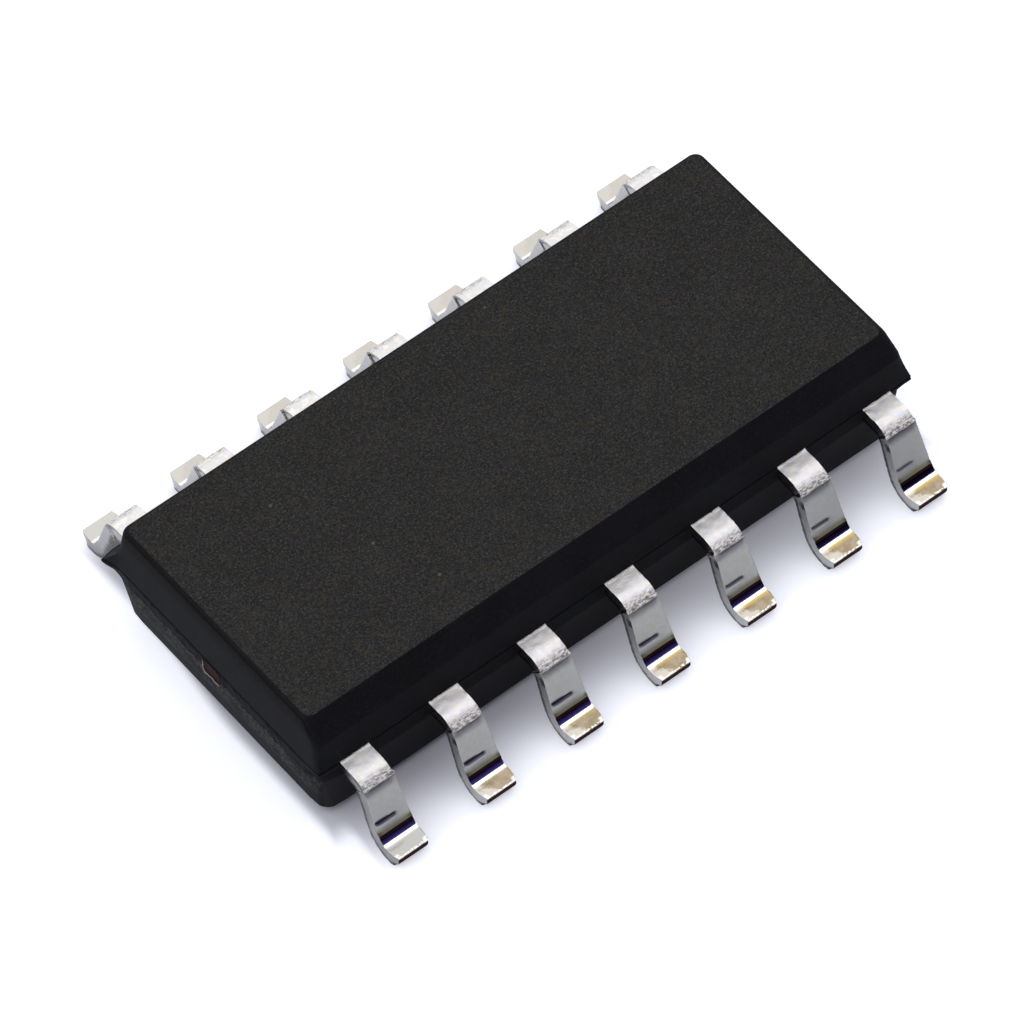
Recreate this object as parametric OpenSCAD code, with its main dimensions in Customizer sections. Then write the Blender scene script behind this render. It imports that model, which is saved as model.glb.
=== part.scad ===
// Gate driver chip in a narrow small-outline package with two rows of gull-wing leads.
// Millimetres. X runs along the lead rows, lead 1 is at -X on the -Y side, +Z is up.
// The origin is below the middle of the lead frame, on the plane that the feet stand on.

/* [Mould body] */
// Length of the moulded body along the lead rows
body_length = 8.65; // [8.55:0.05:8.75]
// Width of the moulded body across the lead rows
body_width = 3.9; // [3.8:0.05:4]
// How far the moulding sits off the middle of the lead frame, towards lead 1's side
body_offset = 0.06; // [0:0.01:0.1]
// Height of the top face above the board
top_height = 1.71; // [1.6:0.01:1.75]
// Gap between the underside of the body and the board
standoff = 0.1; // [0.05:0.01:0.2]
// Draft of the walls above the leads, in degrees
upper_draft = 8.5; // [5:0.5:13]
// Draft of the walls below the leads, in degrees
lower_draft = 6; // [3:0.5:10]
// Radius of the four upright corners
corner_radius = 0.12; // [0.06:0.01:0.16]
// Radius of the edges round the top and the underside
edge_radius = 0.07; // [0.03:0.01:0.1]
// How far the bevel on the lead 1 side reaches in over the top face
bevel_run = 0.25; // [0.12:0.01:0.35]
// How far that bevel drops down the long wall
bevel_drop = 0.26; // [0.12:0.01:0.35]
// Height of the parting groove between the upper half and the leads
groove_height = 0.03; // [0.02:0.005:0.05]
// Depth of the parting groove
groove_depth = 0.02; // [0.01:0.005:0.04]
// Diameter of the ejector marks in the underside
ejector_diameter = 1; // [0.6:0.1:1.4]
// Depth of the ejector marks
ejector_depth = 0.03; // [0.01:0.01:0.06]

/* [Leads] */
// Spacing of the leads along a row
lead_pitch = 1.27; // [1.2:0.01:1.3]
// Width of a lead at the shoulder and at its toe
lead_width = 0.42; // [0.33:0.01:0.48]
// Thickness of the lead frame
lead_thickness = 0.21; // [0.17:0.01:0.25]
// Height of the top of the shoulder above the board
shoulder_height = 1.02; // [0.95:0.01:1.05]
// Length of the flat shoulder outside the body, as the mean of the two rows
shoulder_length = 0.26; // [0.2:0.01:0.3]
// Distance across the chip from foot tip to foot tip
lead_span = 6.02; // [5.98:0.02:6.3]
// Slope of the shank below the horizontal, in degrees
shank_slope = 70; // [66:1:80]
// Inner radius of the bend at the shoulder
shoulder_bend = 0.12; // [0.08:0.01:0.16]
// Inner radius of the bend at the foot
foot_bend = 0.15; // [0.1:0.01:0.18]
// How far a lead stands out further at each side from the cut dam bar down to the foot
dam_stub = 0.03; // [0.01:0.005:0.04]

/* [Inside] */
// Length of the die paddle along the lead rows
paddle_length = 4; // [3.4:0.1:4.2]
// Width of the die paddle
paddle_width = 2.2; // [2:0.05:2.3]
// How far the paddle is set down below the leads
paddle_downset = 0.2; // [0.12:0.01:0.26]
// Width of the tie bars that held the paddle in the frame
tie_bar_width = 0.3; // [0.2:0.02:0.4]
// How far the cut ends of the tie bars stand out of the body
tie_bar_proud = 0.02; // [0.01:0.005:0.04]
// Length of the silicon die
die_length = 2.4; // [2.2:0.1:2.8]
// Width of the silicon die
die_width = 1.6; // [1.4:0.1:1.8]
// Thickness of the silicon die
die_thickness = 0.28; // [0.2:0.01:0.32]
// Thickness of the die attach film
attach_thickness = 0.03; // [0.02:0.005:0.05]
// Diameter of a bond wire
wire_diameter = 0.05; // [0.04:0.005:0.06]
// Height of a wire's loop above the die
loop_height = 0.2; // [0.15:0.01:0.25]

/* [Hidden] */
$fn = 48;
leads_per_side = 7;
lead_count = 2 * leads_per_side;

// Levels of the parting groove, of the lead frame and of what the paddle carries
upper_base = shoulder_height + groove_height;
shoulder_underside = shoulder_height - lead_thickness;
paddle_top = shoulder_height - paddle_downset;
die_bottom = paddle_top + attach_thickness;
die_top = die_bottom + die_thickness;

// Corner segments of the body, steps of its rounded edges, and clear space at a cut
corner_steps = 6;
edge_steps = 3;
cut_margin = 0.1;

// Ejector marks sit a quarter of the body's length either side of its middle
ejector_x = body_length / 4;

// Finger inside the body: straight entry, fan-in of the tips, gap to the paddle's side
finger_entry = 0.25;
finger_fan = 0.72;
finger_gap = 0.2;

// The fingers of a row's end leads reach round to the paddle's ends: gap there, and setback from its side
end_finger_gap = 0.74;
end_finger_setback = 0.44;

// Least share of a lead's two flats that stays foot where the span leaves little room
foot_share = 0.4;

// Steps of each bend of a lead
bend_steps = 10;

// The cut dam bar leaves a lead wider from this step of the shoulder bend on
stub_step = 6;

// Tie bars: flat length next to the paddle and length of the slope
tie_bar_flat = 0.1;
tie_bar_ramp = 0.3;

// Die attach film stands out this far round the die
attach_margin = 0.06;

// Bond wires: sides of a wire, steps along a loop, ball bond, pad rows and stitch
wire_sides = 8;
loop_steps = 9;
ball_radius = 0.06;
ball_height = 0.03;
pad_pitch = 0.3;
pad_inset = 0.13;
stitch_back = 0.16;
stitch_length = 0.06;
stitch_run_in = 0.25;

// Column of a lead counted from the middle of its row, in the row's own frame
function column(i) = (leads_per_side - 1) / 2 - (i - 1) % leads_per_side;

// Turn of the row about Z: leads from 1 up face -Y, the others face +Y
function row_turn(i) = i <= leads_per_side ? 180 : 0;

// Outline of a strip of constant width along a path in a plane, with mitred corners
function unit(v) = v / norm(v);
function left_of(v) = [-v[1], v[0]];
function heading(path, k) = unit(path[k + 1] - path[k]);
function miter(path, k) =
    let (
        last = len(path) - 1,
        before = heading(path, max(k - 1, 0)),
        after = heading(path, min(k, last - 1)),
        across = unit(left_of(before) + left_of(after))
    )
    across / (across * left_of(after));
function edge_of(path, width, from, to) =
    [for (k = [from:sign(to - from):to]) path[k] + miter(path, k) * width / 2];
function strip(path, width) =
    let (last = len(path) - 1)
    concat(edge_of(path, width, 0, last), edge_of(path, -width, last, 0));

// Faces of a skin over rings of equal count, closed by the first and the last ring
function skin_faces(rings, count) = concat(
    [[for (k = [0:count - 1]) k]],
    [[for (k = [count - 1:-1:0]) (rings - 1) * count + k]],
    [for (r = [0:rings - 2], k = [0:count - 1])
        let (low = r * count, high = low + count, next = (k + 1) % count)
        [low + k, high + k, high + next, low + next]]
);

module skin(rings) {
    polyhedron(
        points = [for (ring = rings, p = ring) p],
        faces = skin_faces(len(rings), len(rings[0])),
        convexity = 8
    );
}

// Body: how far the walls stand in from the widest outline at a height
function draft_inset(z) =
    z > upper_base ? (z - upper_base) * tan(upper_draft)
    : z < shoulder_underside ? (shoulder_underside - z) * tan(lower_draft)
    : 0;
function edge_inset(z) =
    let (depth = min(top_height - z, z - standoff))
    depth < edge_radius ? edge_radius - sqrt(edge_radius ^ 2 - (edge_radius - depth) ^ 2) : 0;
function groove_inset(z) =
    max(0, groove_depth * (1 - abs(2 * (z - shoulder_height) / groove_height - 1)));
function wall_inset(z) = draft_inset(z) + edge_inset(z) + groove_inset(z);

// The bevel starts on the drafted wall and leans in by its own run and drop
bevel_height = top_height - bevel_drop;
function bevel_inset(z) =
    draft_inset(bevel_height) + (z - bevel_height) * bevel_run / bevel_drop;
function front_inset(z) = z > bevel_height ? max(bevel_inset(z), wall_inset(z)) : wall_inset(z);

// Rounded outline of the body at a height, counted clockwise from above
function corner(x, y, start) =
    [for (k = [0:corner_steps]) let (a = start - 90 * k / corner_steps)
        [x + corner_radius * cos(a), y + corner_radius * sin(a)]];
function body_ring(z) =
    let (
        x = body_length / 2 - wall_inset(z) - corner_radius,
        back = body_width / 2 - wall_inset(z) - corner_radius,
        front = front_inset(z) + corner_radius - body_width / 2
    )
    [for (p = concat(
            corner(x, back, 90), corner(x, front, 0),
            corner(-x, front, -90), corner(-x, back, -180)
        ))
        [p[0], p[1], z]];

// Heights of the body's rings, from the underside to the top face
edge_levels = [for (k = [0:edge_steps]) edge_radius * (1 - cos(90 * k / edge_steps))];
body_levels = concat(
    [for (d = edge_levels) standoff + d],
    [shoulder_underside, shoulder_height, shoulder_height + groove_height / 2, upper_base, bevel_height],
    [for (k = [edge_steps:-1:0]) top_height - edge_levels[k]]
);

module body_shell() {
    skin([for (z = body_levels) body_ring(z)]);
}

module ejector_marks() {
    for (side = [-1, 1])
        translate([side * ejector_x, 0, standoff - cut_margin])
            cylinder(d = ejector_diameter, h = cut_margin + ejector_depth);
}

module moulding() {
    translate([0, -body_offset, 0])
        difference() {
            body_shell();
            ejector_marks();
        }
}

module mould_body() {
    color([0.17, 0.17, 0.165])
        difference() {
            moulding();
            for (i = [1:lead_count])
                lead(i);
            die_paddle();
            die_attach();
            driver_die();
            for (i = [1:lead_count])
                bond_wire(i);
        }
}

// Bends and shank of a lead seen along X: how far they drop and reach out on the middle line
shoulder_middle = shoulder_bend + lead_thickness / 2;
foot_middle = foot_bend + lead_thickness / 2;
lead_drop = shoulder_height - lead_thickness;
bend_drop = (shoulder_middle + foot_middle) * (1 - cos(shank_slope));
bend_reach = (shoulder_middle + foot_middle) * sin(shank_slope)
    + (lead_drop - bend_drop) / tan(shank_slope);

// What the span leaves for the two flats goes to the shoulder first, then to the foot
flat_room = (lead_span - body_width) / 2 - bend_reach;
shoulder_flat = min(shoulder_length, flat_room * (1 - foot_share));
bend_start = body_width / 2 + shoulder_flat;
shoulder_centre = [bend_start, shoulder_underside - shoulder_bend];
foot_centre = [bend_start + bend_reach, lead_thickness + foot_bend];

// Finger of a lead: it runs straight in, then fans in to its tip beside the paddle
function is_end(c) = abs(c) == (leads_per_side - 1) / 2;
function finger_tip(c) = is_end(c)
    ? [sign(c) * (paddle_length / 2 + end_finger_gap), paddle_width / 2 - end_finger_setback]
    : [c * lead_pitch * finger_fan, paddle_width / 2 + finger_gap];
function finger_path(c) = [
    [c * lead_pitch, bend_start],
    [c * lead_pitch, body_width / 2 - finger_entry],
    finger_tip(c)
];

// Middle line of the formed lead: shoulder, bend, shank, bend and foot
function arc(centre, radius, from, to) =
    [for (k = [0:bend_steps]) let (a = from + (to - from) * k / bend_steps)
        centre + radius * [cos(a), sin(a)]];
shoulder_arc = arc(shoulder_centre, shoulder_middle, 90, 90 - shank_slope);
foot_arc = arc(foot_centre, foot_middle, 270 - shank_slope, 270);
lead_path = concat(
    [[body_width / 2, shoulder_height - lead_thickness / 2]],
    shoulder_arc,
    foot_arc,
    [[lead_span / 2, lead_thickness / 2]]
);
stub_path = concat([for (k = [stub_step:bend_steps]) shoulder_arc[k]], foot_arc);
shank_width = lead_width + 2 * dam_stub;

// A profile seen along X, made into a strip of a width about X = 0
module across_lead(width) {
    rotate([90, 0, 90])
        translate([0, 0, -width / 2])
            linear_extrude(width)
                children();
}

module formed_lead() {
    across_lead(lead_width)
        polygon(strip(lead_path, lead_thickness));
    across_lead(shank_width)
        polygon(strip(stub_path, lead_thickness));
    toe();
}

// Flat of the foot, which narrows from the bend to its tip
module toe() {
    linear_extrude(lead_thickness)
        polygon([
            [-shank_width / 2, foot_centre[0]],
            [shank_width / 2, foot_centre[0]],
            [lead_width / 2, lead_span / 2],
            [-lead_width / 2, lead_span / 2]
        ]);
}

module finger(c) {
    translate([0, 0, shoulder_underside])
        linear_extrude(lead_thickness)
            polygon(strip(finger_path(c), lead_width));
}

module lead(i) {
    color([0.79, 0.78, 0.74])
        rotate([0, 0, row_turn(i)]) {
            finger(column(i));
            translate([column(i) * lead_pitch, 0, 0])
                formed_lead();
        }
}

// Tie bars seen along Y, as one strip under the paddle: up a slope at each end, then out of the body
paddle_middle = paddle_top - lead_thickness / 2;
frame_middle = shoulder_height - lead_thickness / 2;
ramp_start = paddle_length / 2 + tie_bar_flat;
tie_bar_path = [
    [-body_length / 2 - tie_bar_proud, frame_middle],
    [-ramp_start - tie_bar_ramp, frame_middle],
    [-ramp_start, paddle_middle],
    [ramp_start, paddle_middle],
    [ramp_start + tie_bar_ramp, frame_middle],
    [body_length / 2 + tie_bar_proud, frame_middle]
];

module die_paddle() {
    color([0.72, 0.5, 0.36]) {
        block(paddle_length, paddle_width, paddle_top - lead_thickness, lead_thickness);
        rotate([90, 0, 0])
            translate([0, 0, -tie_bar_width / 2])
                linear_extrude(tie_bar_width)
                    polygon(strip(tie_bar_path, lead_thickness));
    }
}

module block(length, width, bottom, height) {
    translate([-length / 2, -width / 2, bottom])
        cube([length, width, height]);
}

module die_attach() {
    color([0.6, 0.6, 0.58])
        block(die_length + 2 * attach_margin, die_width + 2 * attach_margin, paddle_top, attach_thickness);
}

module driver_die() {
    color([0.35, 0.37, 0.42])
        block(die_length, die_width, die_bottom, die_thickness);
}

// Bond wire: from a ball on the die's pad, over a loop, to a stitch lying on the finger
wire_radius = wire_diameter / 2;
wire_lift = wire_radius * cos(180 / wire_sides);
function pad_place(c) = [c * pad_pitch, die_width / 2 - pad_inset, die_top];
function stitch_place(c) =
    let (
        path = finger_path(c),
        spot = path[2] - stitch_back * heading(path, 1)
    )
    [spot[0], spot[1], shoulder_height + wire_lift];

// Point of the loop at a share of its length: straight up from the ball, level at the stitch
function loop_point(a, b, c, d, t) =
    (1 - t) ^ 3 * a + 3 * t * (1 - t) ^ 2 * b + 3 * t ^ 2 * (1 - t) * c + t ^ 3 * d;
function loop_slope(a, b, c, d, t) =
    unit((1 - t) ^ 2 * (b - a) + 2 * t * (1 - t) * (c - b) + t ^ 2 * (d - c));

// Ring of a wire about a centre, square to its direction, with a flat side facing down
function wire_ring(centre, direction, side, radius) =
    let (up = cross(side, direction))
    [for (k = [0:wire_sides - 1]) let (a = 360 * (k + 0.5) / wire_sides)
        centre + radius * (cos(a) * side + sin(a) * up)];

function wire_rings(c) =
    let (
        pad = pad_place(c),
        stitch = stitch_place(c),
        level = unit([stitch[0] - pad[0], stitch[1] - pad[1], 0]),
        side = [level[1], -level[0], 0],
        neck = pad + [0, 0, ball_height],
        over = neck + [0, 0, loop_height * 4 / 3],
        run_in = stitch - stitch_run_in * level
    )
    concat(
        [wire_ring(pad, [0, 0, 1], side, ball_radius)],
        [wire_ring(neck, [0, 0, 1], side, ball_radius)],
        [for (k = [0:loop_steps]) let (t = k / loop_steps)
            wire_ring(
                loop_point(neck, over, run_in, stitch, t),
                loop_slope(neck, over, run_in, stitch, t),
                side, wire_radius
            )],
        [wire_ring(stitch + stitch_length * level, level, side, wire_radius)]
    );

module bond_wire(i) {
    color([0.85, 0.68, 0.3])
        rotate([0, 0, row_turn(i)])
            skin(wire_rings(column(i)));
}

mould_body();
for (i = [1:lead_count])
    lead(i);
die_paddle();
die_attach();
driver_die();
for (i = [1:lead_count])
    bond_wire(i);
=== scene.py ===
import math
import random

import bmesh
import bpy
from mathutils import Matrix, Vector, noise


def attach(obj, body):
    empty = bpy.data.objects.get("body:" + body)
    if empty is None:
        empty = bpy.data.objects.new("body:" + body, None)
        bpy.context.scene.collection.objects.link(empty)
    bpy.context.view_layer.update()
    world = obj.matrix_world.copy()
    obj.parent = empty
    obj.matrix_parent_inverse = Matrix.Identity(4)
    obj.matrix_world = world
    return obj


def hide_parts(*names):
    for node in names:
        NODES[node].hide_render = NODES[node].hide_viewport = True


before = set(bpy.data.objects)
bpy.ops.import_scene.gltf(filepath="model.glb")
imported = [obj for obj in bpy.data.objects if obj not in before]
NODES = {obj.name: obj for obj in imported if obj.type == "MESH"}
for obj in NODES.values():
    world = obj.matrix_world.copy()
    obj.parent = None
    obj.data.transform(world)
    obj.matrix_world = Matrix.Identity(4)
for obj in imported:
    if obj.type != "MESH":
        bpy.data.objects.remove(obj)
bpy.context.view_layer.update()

MM = 0.001

# The chip's own sizes, in millimetres
LEADS_A_SIDE = 7
LEAD_PITCH = 1.27
LEAD_WIDTH = 0.42
LEAD_THICKNESS = 0.21
LEAD_REACH = 3.01
SHOULDER_TOP = 1.02
SHOULDER_UNDER = SHOULDER_TOP - LEAD_THICKNESS
SHOULDER_END = 2.21
SHANK_SLOPE = math.radians(70)
SHOULDER_BEND = 0.12
FOOT_BEND = 0.15
FINGER_CORNER = 1.70
FINGER_MITRE = 0.15
FINGER_FAN = 0.72
FINGER_TIP = 1.3
END_FINGER = (2.74, 0.66)
DAM_STUB = 0.03
EDGE_SOFTNESS = 0.008

BODY_HALF_LENGTH = 4.325
BODY_HALF_WIDTH = 1.95
BODY_OFFSET = 0.06
BODY_TOP = 1.71
BODY_UNDER = 0.1
CORNER_RADIUS = 0.12
EDGE_RADIUS = 0.07
UPPER_DRAFT = math.tan(math.radians(8.5))
LOWER_DRAFT = math.tan(math.radians(6))
BEVEL_RUN = 0.25
BEVEL_DROP = 0.26
GROOVE_HEIGHT = 0.03
GROOVE_DEPTH = 0.02
EJECTOR_PLACE = BODY_HALF_LENGTH / 2
EJECTOR_RADIUS = 0.5
EJECTOR_DEPTH = 0.03

PADDLE = (4.0, 2.2)
PADDLE_MIDDLE = 0.715
TIE_BAR_WIDTH = 0.3
TIE_BAR_FLAT = 0.1
TIE_BAR_RAMP = 0.3
TIE_BAR_RISE = 0.2
TIE_BAR_END = 4.345

# The lead's formed strip, unrolled from the start of the shoulder bend
SHOULDER_MIDDLE = SHOULDER_BEND + LEAD_THICKNESS / 2
FOOT_MIDDLE = FOOT_BEND + LEAD_THICKNESS / 2
DOWN = Vector((0, math.cos(SHANK_SLOPE), -math.sin(SHANK_SLOPE)))
OUTER = Vector((0, math.sin(SHANK_SLOPE), math.cos(SHANK_SLOPE)))
BEND_DROP = (SHOULDER_MIDDLE + FOOT_MIDDLE) * (1 - math.cos(SHANK_SLOPE))
SHANK = (SHOULDER_UNDER - BEND_DROP) / math.sin(SHANK_SLOPE)
BEND_CENTRE = Vector((0, SHOULDER_END, SHOULDER_UNDER - SHOULDER_BEND))
SHANK_START = BEND_CENTRE + OUTER * SHOULDER_MIDDLE
FOOT_CENTRE = SHANK_START + DOWN * SHANK + OUTER * FOOT_MIDDLE
BEND_LENGTH = SHANK_SLOPE * SHOULDER_MIDDLE
FOLD_START = BEND_LENGTH + SHANK
FOOT_START = FOLD_START + SHANK_SLOPE * FOOT_MIDDLE
TOE = FOOT_START + LEAD_REACH - FOOT_CENTRE.y

# Places along the unrolled lead: end of the matt shoulder, nick of the forming tool,
# start of the polished fold
MATT_END = 0.185
NICK = 0.618
FOLD = 0.788

# Columns and rows of a lead's cross section, and steps along the parts of its strip
LEAD_GRID = (18, 5)
SHOULDER_STEPS = 14
BEND_STEPS = 26
SHANK_STEPS = 30
FOLD_STEPS = 18
FOOT_STEPS = 9

# Right end and depth of each lead's nick
NICKS = ((0.08, 1.0), (0.09, 1.0), (0.09, 1.0), (0.07, 0.9), (0.05, 0.7), (0.05, 0.65), (0.03, 0.55))


class Finish:
    """A procedural material and short ways to add its nodes."""

    def __init__(self, name, metal=0.0):
        self.material = bpy.data.materials.new(name)
        self.material.use_nodes = True
        self.tree = self.material.node_tree
        self.tree.nodes.clear()
        self.shader = self.add("ShaderNodeBsdfPrincipled")
        self.shader.inputs["Metallic"].default_value = metal
        out = self.add("ShaderNodeOutputMaterial")
        self.tree.links.new(self.shader.outputs["BSDF"], out.inputs["Surface"])
        self.place = self.add("ShaderNodeTexCoord").outputs["Object"]
        parts = self.add("ShaderNodeSeparateXYZ", Vector=self.place).outputs
        self.x, self.y, self.z = (self.math("MULTIPLY", p, 1 / MM) for p in parts)

    def add(self, kind, /, sockets=None, **values):
        made = self.tree.nodes.new(kind)
        for name, value in (sockets or {}).items():
            setattr(made, name, value)
        for name, value in values.items():
            self.feed(made.inputs[name.replace("_", " ")], value)
        return made

    def feed(self, socket, value):
        if isinstance(value, bpy.types.NodeSocket):
            self.tree.links.new(value, socket)
        else:
            socket.default_value = value

    def math(self, operation, *values, clamp=False):
        made = self.add("ShaderNodeMath", {"operation": operation, "use_clamp": clamp})
        for socket, value in zip(made.inputs, values):
            self.feed(socket, value)
        return made.outputs[0]

    def times(self, *values):
        made = values[0]
        for value in values[1:]:
            made = self.math("MULTIPLY", made, value)
        return made

    def step(self, value, start, end):
        """0 before start, 1 after end, smooth between."""
        made = self.add("ShaderNodeMapRange", {"interpolation_type": "SMOOTHSTEP"}, Value=value)
        made.inputs["From Min"].default_value = start
        made.inputs["From Max"].default_value = end
        return made.outputs[0]

    def band(self, value, start, end, soft):
        """1 between start and end."""
        after_start = self.step(value, start - soft, start + soft)
        return self.times(after_start, self.step(value, end + soft, end - soft))

    def noise(self, grain, detail=3.0, rough=0.55, stretch=None):
        """Noise whose grain is so many millimetres across."""
        place = self.place
        if stretch:
            place = self.add("ShaderNodeMapping", Vector=place, Scale=stretch).outputs[0]
        made = self.add(
            "ShaderNodeTexNoise", Vector=place, Scale=1 / (grain * MM), Detail=detail, Roughness=rough,
        )
        return made.outputs[0]

    def shifted(self, value, grain, amount, detail=3.0):
        """A value that wanders by up to an amount either way."""
        wander = self.math("MULTIPLY_ADD", self.noise(grain, detail), 2 * amount, -amount)
        return self.math("ADD", value, wander)

    def cells(self, size):
        return self.add("ShaderNodeTexVoronoi", Vector=self.place, Scale=1 / (size * MM)).outputs

    def specks(self, size, share, radius):
        """Sparse round specks, a share of the cells of a size."""
        dots = self.cells(size)
        draw = self.add("ShaderNodeSeparateColor", Color=dots["Color"]).outputs[0]
        chosen = self.step(draw, 1 - share, 1.001 - share)
        return self.times(self.step(dots["Distance"], radius, radius * 0.5), chosen)

    def mix(self, share, first, second):
        made = self.add("ShaderNodeMix", {"data_type": "RGBA"})
        self.feed(made.inputs[0], share)
        for socket, value in ((made.inputs[6], first), (made.inputs[7], second)):
            self.feed(socket, value if isinstance(value, bpy.types.NodeSocket) else (*value, 1.0))
        return made.outputs[2]

    def blend(self, share, first, second):
        """A number that goes from first to second with the share."""
        made = self.add("ShaderNodeMix", {"data_type": "FLOAT"})
        self.feed(made.inputs[0], share)
        self.feed(made.inputs[2], first)
        self.feed(made.inputs[3], second)
        return made.outputs[0]

    def bump(self, height, depth, strength=1.0, under=None):
        """Relief of a depth in millimetres."""
        made = self.add("ShaderNodeBump", Height=height, Strength=strength, Distance=depth * MM)
        if under is not None:
            self.feed(made.inputs["Normal"], under)
        return made.outputs[0]

    def facing(self):
        """The surface's own direction, as x, y and z."""
        normal = self.add("ShaderNodeNewGeometry").outputs["Normal"]
        return self.add("ShaderNodeSeparateXYZ", Vector=normal).outputs

    def along_rows(self):
        """1 where the surface faces along the lead rows."""
        return self.step(self.math("ABSOLUTE", self.facing()[0]), 0.6, 0.85)

    def back_row(self):
        """1 on the back row of leads."""
        return self.step(self.y, 0.0, 0.1)

    def front_row(self):
        """1 on the front row of leads."""
        return self.step(self.y, 0.0, -0.1)

    def without(self, share):
        return self.math("SUBTRACT", 1.0, share)

    def attribute(self, name):
        return self.add("ShaderNodeAttribute", {"attribute_name": name}).outputs["Fac"]

    def finish(self, colour, rough, normal=None):
        self.feed(self.shader.inputs["Base Color"], colour)
        self.feed(self.shader.inputs["Roughness"], rough)
        if normal is not None:
            self.feed(self.shader.inputs["Normal"], normal)
        return self.material


def moulded_epoxy():
    f = Finish("moulded_epoxy")
    upper = f.step(f.facing()[2], 0.93, 0.995)
    grain = f.noise(0.024, 2.0, 0.6)
    tint = f.noise(0.06, 2.0)
    blotch = f.noise(0.5, 3.0)
    # Fine open grain on the top, with olive and brown flecks
    top = f.mix(f.step(blotch, 0.3, 0.7), (0.0185, 0.0190, 0.0175), (0.0235, 0.0235, 0.0213))
    top = f.mix(f.step(grain, 0.5, 0.3), top, (0.0080, 0.0080, 0.0076))
    top = f.mix(f.times(f.step(grain, 0.52, 0.72), 0.9), top, (0.057, 0.057, 0.050))
    top = f.mix(f.times(f.step(tint, 0.55, 0.72), 0.7), top, (0.040, 0.032, 0.018))
    top = f.mix(f.times(f.specks(0.3, 0.12, 0.09), 0.7), top, (0.11, 0.10, 0.075))
    # Walls, smoother than the top and painted darker than it as shade, paler below the leads on the long sides
    wall = f.mix(f.step(blotch, 0.3, 0.7), (0.0042, 0.0044, 0.0050), (0.0065, 0.0068, 0.0078))
    wall = f.mix(f.times(f.step(grain, 0.5, 0.75), 0.6), wall, (0.016, 0.018, 0.020))
    end_face = f.along_rows()
    low = f.step(f.z, SHOULDER_UNDER, SHOULDER_UNDER - 0.06)
    wall = f.mix(f.times(low, f.without(end_face)), wall, (0.020, 0.020, 0.021))
    # Painted shade: a dark rim under the top edge of the two ends
    rim = f.times(f.step(f.shifted(f.z, 0.1, 0.03), 1.40, 1.60), end_face)
    wall = f.mix(rim, wall, (0.0010, 0.0010, 0.0012))
    colour = f.mix(upper, wall, top)
    # Rough flash below the parting line of the two ends
    end = f.step(f.math("ABSOLUTE", f.x), 4.22, 4.27)
    height = f.shifted(f.z, 0.16, 0.07, 4.0)
    flash = f.times(f.step(height, 0.42, 0.52), f.step(height, 0.88, 0.83), end)
    crumb = f.noise(0.045, 4.0)
    speck = f.times(f.step(crumb, 0.42, 0.64), f.step(f.noise(0.3, 2.0), 0.36, 0.56))
    green = f.step(f.noise(0.2, 2.0), 0.5, 0.65)
    crumbs = f.mix(green, (0.050, 0.049, 0.045), (0.038, 0.068, 0.054))
    crumbs = f.mix(f.specks(0.06, 0.3, 0.22), crumbs, (0.30, 0.30, 0.24))
    colour = f.mix(f.times(flash, speck), colour, crumbs)
    # Painted shadow in a dark line under the overhang of the parting line on the two ends
    line = f.times(f.band(height, 0.88, 1.03, 0.02), end)
    colour = f.mix(line, colour, (0.0025, 0.0025, 0.0035))
    rough = f.blend(grain, 0.62, 0.85)
    relief = f.bump(grain, 0.016, f.blend(upper, 0.25, 0.8))
    relief = f.bump(blotch, 0.02, 0.2, relief)
    relief = f.bump(f.times(crumb, flash), 0.05, 0.8, relief)
    f.shader.inputs["Specular IOR Level"].default_value = 0.09
    return f.finish(colour, rough, relief)


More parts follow.
